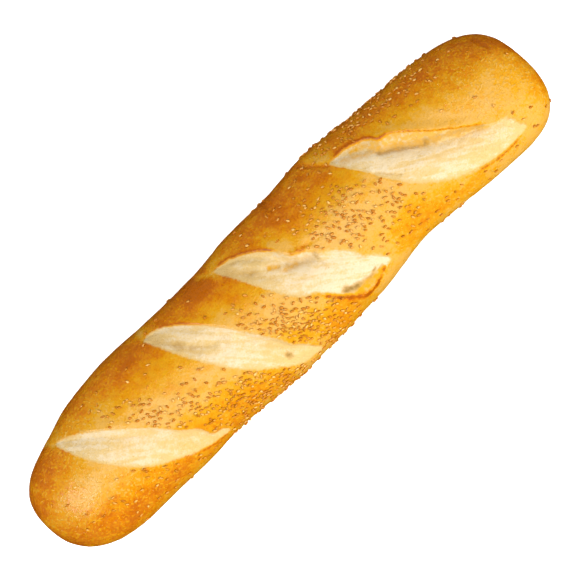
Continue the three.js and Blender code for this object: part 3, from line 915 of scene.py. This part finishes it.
def white_room():
    """A white room, brightest at the horizon and warm towards the ground."""
    world = bpy.data.worlds.new("White room")
    world.use_nodes = True
    tree = world.node_tree
    tree.nodes.clear()
    direction = add_node(tree, "ShaderNodeTexCoord").outputs["Generated"]
    height = add_node(tree, "ShaderNodeSeparateXYZ", {0: direction}).outputs["Z"]
    share = add_node(tree, RANGE, {"Value": height, "From Min": -1.0, "From Max": 1.0})
    ramp = add_node(tree, RAMP, {"Fac": share})
    set_ramp(ramp, [((place + 1) / 2, light) for place, light in ROOM_LIGHT])
    shader = add_node(tree, "ShaderNodeBackground", {"Color": ramp})
    add_node(tree, "ShaderNodeOutputWorld", {"Surface": shader})
    return world


# Settings, operators and panel

def colour_setting(name, code, description):
    """A colour that a user may change."""
    return bpy.props.FloatVectorProperty(
        name=name, description=description, subtype="COLOR", size=3, min=0, max=1, default=linear(code))


def length_setting(name, metres, description):
    """A length that a user may change."""
    return bpy.props.FloatProperty(name=name, description=description, default=metres, min=0, unit="LENGTH")


def power_setting(name, watts, description):
    """The power of a light that a user may change."""
    return bpy.props.FloatProperty(name=name, description=description, default=watts, min=0, unit="POWER")


class BaguetteLoafSettings(bpy.types.PropertyGroup):
    """Colours and gloss of the crust and the crumb."""
    # straw and gold also stand for painted sheen where the crown is palest
    straw: colour_setting("Straw", "#c4933c", "Crust that hardly browned, as along a pinched seam")
    gold: colour_setting("Gold", "#c28a0e", "Lightly browned crust on the crown")
    orange: colour_setting("Orange", "#bf7b02", "Well browned crust")
    amber: colour_setting("Amber", "#b66700", "Dark crust on the sides and ends")
    chestnut: colour_setting("Chestnut", "#a95800", "The darkest crust")
    burnt: colour_setting("Burnt edge", "#964a00", "Thin crust along an opened edge")
    crumb: colour_setting("Crumb", "#c3a468", "Opened crumb")
    flour: colour_setting("Floury crumb", "#cbb998", "Floury streaks on the opened crumb")
    tan: colour_setting("Torn crumb", "#c49740", "Torn crumb under a lip")
    # painted shade of the crumb: the depth of a hollow, and folds and pits
    hollow: colour_setting("Hollow", "#7a5a20", "The depth of a hollow in the crumb")
    shade: colour_setting("Folded crumb", "#a88448", "Crumb in folds and pits")
    roughness: bpy.props.FloatProperty(
        name="Roughness", description="Roughness of the crust", default=0.3, min=0, max=1, subtype="FACTOR")


class BaguetteSesameSettings(bpy.types.PropertyGroup):
    """Size and colours of the seeds."""
    length: length_setting("Length", 0.00295, "Length of a seed")
    width: length_setting("Width", 0.00155, "Width of a seed")
    thickness: length_setting("Thickness", 0.0014, "Thickness of a seed")
    taper: bpy.props.FloatProperty(
        name="Taper", description="How much narrower the pointed end is", default=0.22, min=0, max=0.6)
    brown: colour_setting("Brown", "#ac6814", "The most toasted seeds")
    tan: colour_setting("Tan", "#c68630", "Most of the seeds")
    pale: colour_setting("Pale", "#e0b262", "The least toasted seeds")
    # the rim colour is toasting and painted shade where a seed meets the crust
    scorched_and_shaded: colour_setting("Scorched", "#a25a02", "The rim of a seed, where it sits in the crust")


class BaguetteStageSettings(bpy.types.PropertyGroup):
    """Floor, light and camera."""
    floor: colour_setting("Floor", "#f4f4f4", "Colour of the floor")
    glow: bpy.props.FloatProperty(name="Floor glow", description="Light from the floor", default=0.8, min=0)
    overhead: power_setting("Overhead", 8.9, "Power of the light above")
    key: power_setting("Key", 22.3, "Power of the low light on the side with the seeds")
    tail: power_setting("Tail", 14.4, "Power of the light beyond the tail")
    back: power_setting("Back", 5.2, "Power of the light beyond the head")
    rim: power_setting("Rim", 1.5, "Power of the low light on the far side")
    distance: length_setting("Camera distance", 3.0, "From the loaf's waist up to the camera")
    span: length_setting("Picture width", 0.3735, "Width that the picture takes in at the loaf's waist")


class BAGUETTE_OT_loaf(bpy.types.Operator):
    """Build the loaf with its crust, slashes and crumb"""
    bl_idname = "baguette.loaf"
    bl_label = "Bake the loaf"

    def execute(self, context):
        add_piece(loaf_mesh(), crust_material(context.scene.baguette_loaf))
        return {"FINISHED"}


class BAGUETTE_OT_sesame(bpy.types.Operator):
    """Scatter the sesame seeds over the crust"""
    bl_idname = "baguette.sesame"
    bl_label = "Scatter the sesame"

    def execute(self, context):
        loaf = bpy.data.objects.get("loaf")
        if loaf is None:
            raise RuntimeError("the loaf comes before its seeds")
        settings = context.scene.baguette_sesame
        context.view_layer.update()
        add_piece(seeds_mesh(loaf, settings), sesame_material(settings))
        return {"FINISHED"}


FLOOR_HALF = 8.0
PLAN_AIM = (3.19, -5.35)  # the plan point at the picture's middle, in millimetres
PLAN_TURN = -45  # how the camera is turned about the vertical, in degrees
SENSOR = 36.0
SOFTBOXES = {
    # bearing and height that the light comes from, in degrees, and its width
    "overhead": (-90, 83, 0.9),
    "key": (-57, 20, 0.6),
    "tail": (182, 49, 0.6),
    "back": (18, 36, 0.7),
    "rim": (120, 20, 0.7),
}
SOFTBOX_REACH = 1.4
POLARISED = ("key", "back", "rim")  # lamps behind a filter that leaves no glare on the crust
WARM, WHITE, DIM = (1.1, 0.86, 0.55), (1.0, 1.0, 1.0), (0.3, 0.3, 0.3)
# Colour of the room by the height that one looks at, from -1 straight down to 1 straight up
ROOM_LIGHT = ((-1.0, WARM), (-0.3, WARM), (-0.06, WHITE), (0.06, WHITE), (0.3, DIM), (1.0, DIM))


class BAGUETTE_OT_stage(bpy.types.Operator):
    """Set the floor, the soft lights and the camera"""
    bl_idname = "baguette.stage"
    bl_label = "Set the stage"

    def execute(self, context):
        scene, settings = context.scene, context.scene.baguette_stage
        form = bmesh.new()
        bmesh.ops.create_grid(form, x_segments=1, y_segments=1, size=FLOOR_HALF)
        mesh = bpy.data.meshes.new("floor")
        form.to_mesh(mesh)
        form.free()
        mesh.materials.append(floor_material(settings))
        floor = bpy.data.objects.new("floor", mesh)
        scene.collection.objects.link(floor)
        floor.visible_diffuse = floor.visible_glossy = False

        scene.world = white_room()
        scene.world.cycles_visibility.glossy = False
        for name, (bearing, height, size) in SOFTBOXES.items():
            lamp = bpy.data.lights.new(name, "AREA")
            lamp.shape = "SQUARE"
            lamp.size = size
            lamp.energy = getattr(settings, name)
            box = bpy.data.objects.new(name, lamp)
            turn, rise = math.radians(bearing), math.radians(height)
            way = Vector((math.cos(turn) * math.cos(rise), math.sin(turn) * math.cos(rise), math.sin(rise)))
            box.location = way * SOFTBOX_REACH + Vector((0, 0, WAIST * MM))
            box.rotation_euler = way.to_track_quat("Z", "Y").to_euler()
            box.visible_camera = False
            box.visible_glossy = name not in POLARISED
            scene.collection.objects.link(box)

        camera = bpy.data.cameras.new("camera")
        camera.sensor_width = SENSOR
        camera.lens = SENSOR * settings.distance / settings.span
        eye = bpy.data.objects.new("camera", camera)
        aim = np.array((*PLAN_AIM, WAIST)) + plan_shift()
        eye.location = Vector(aim * MM) + Vector((0, 0, settings.distance))
        eye.rotation_euler = (0, 0, math.radians(PLAN_TURN))
        scene.collection.objects.link(eye)
        scene.camera = eye
        scene.view_settings.view_transform = "Standard"
        return {"FINISHED"}


class BAGUETTE_PT_panel(bpy.types.Panel):
    """Steps and settings of the baguette"""
    bl_idname = "BAGUETTE_PT_panel"
    bl_label = "Baguette"
    bl_space_type = "VIEW_3D"
    bl_region_type = "UI"
    bl_category = "Baguette"

    def draw(self, context):
        for operator, group in STEPS:
            self.layout.operator(operator.bl_idname)
            settings = getattr(context.scene, group)
            for name in settings.bl_rna.properties.keys():
                if name not in {"rna_type", "name"}:
                    self.layout.prop(settings, name)


GROUPS = {
    "baguette_loaf": BaguetteLoafSettings,
    "baguette_sesame": BaguetteSesameSettings,
    "baguette_stage": BaguetteStageSettings,
}
STEPS = (
    (BAGUETTE_OT_loaf, "baguette_loaf"),
    (BAGUETTE_OT_sesame, "baguette_sesame"),
    (BAGUETTE_OT_stage, "baguette_stage"),
)
CLASSES = (*GROUPS.values(), *(operator for operator, _ in STEPS), BAGUETTE_PT_panel)


def register():
    for kind in CLASSES:
        bpy.utils.register_class(kind)
    for name, group in GROUPS.items():
        setattr(bpy.types.Scene, name, bpy.props.PointerProperty(type=group))


def unregister():
    for name in GROUPS:
        delattr(bpy.types.Scene, name)
    for kind in reversed(CLASSES):
        bpy.utils.unregister_class(kind)


def main():
    register()
    bpy.ops.baguette.loaf()
    bpy.ops.baguette.sesame()
    bpy.ops.baguette.stage()


if __name__ == "__main__":
    main()
